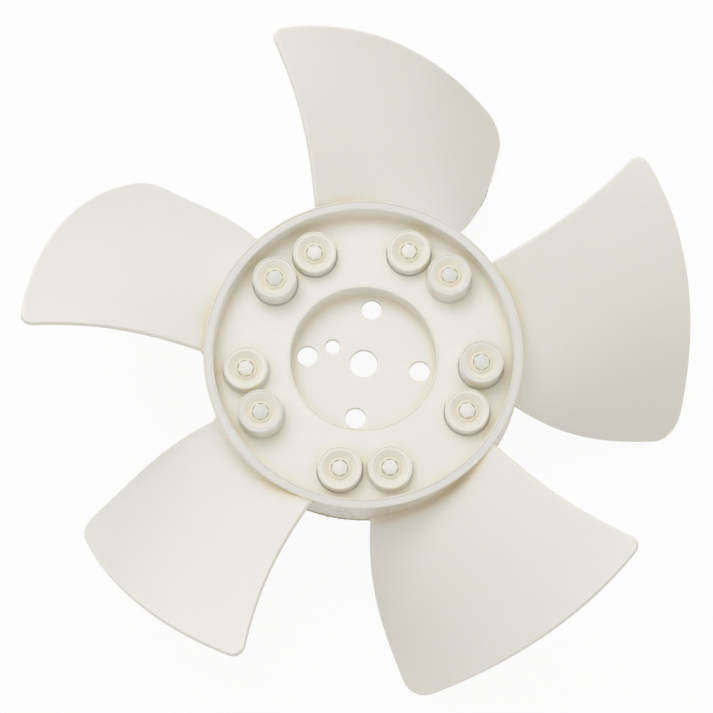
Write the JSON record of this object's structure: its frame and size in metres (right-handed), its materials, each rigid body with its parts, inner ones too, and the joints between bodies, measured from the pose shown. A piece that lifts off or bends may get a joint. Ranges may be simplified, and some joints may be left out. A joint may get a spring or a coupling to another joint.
{
  "type": "axial fan impeller",
  "caption": "Moulded axial fan impeller: swept, twisted blades around a dished hub with a bolted centre web and ring-topped cup bosses.",
  "frame": {"origin": "shaft axis in the rear face of the mounting web", "axes": "+Z along the shaft axis towards the open dish; +X through one bolt hole"},
  "size_m": [0.3002, 0.2962, 0.1002],
  "materials": {
    "moulding": "natural nylon, moulded, satin"
  },
  "bodies": {
    "root": {"impeller": "moulding"}
  },
  "joints": []
}
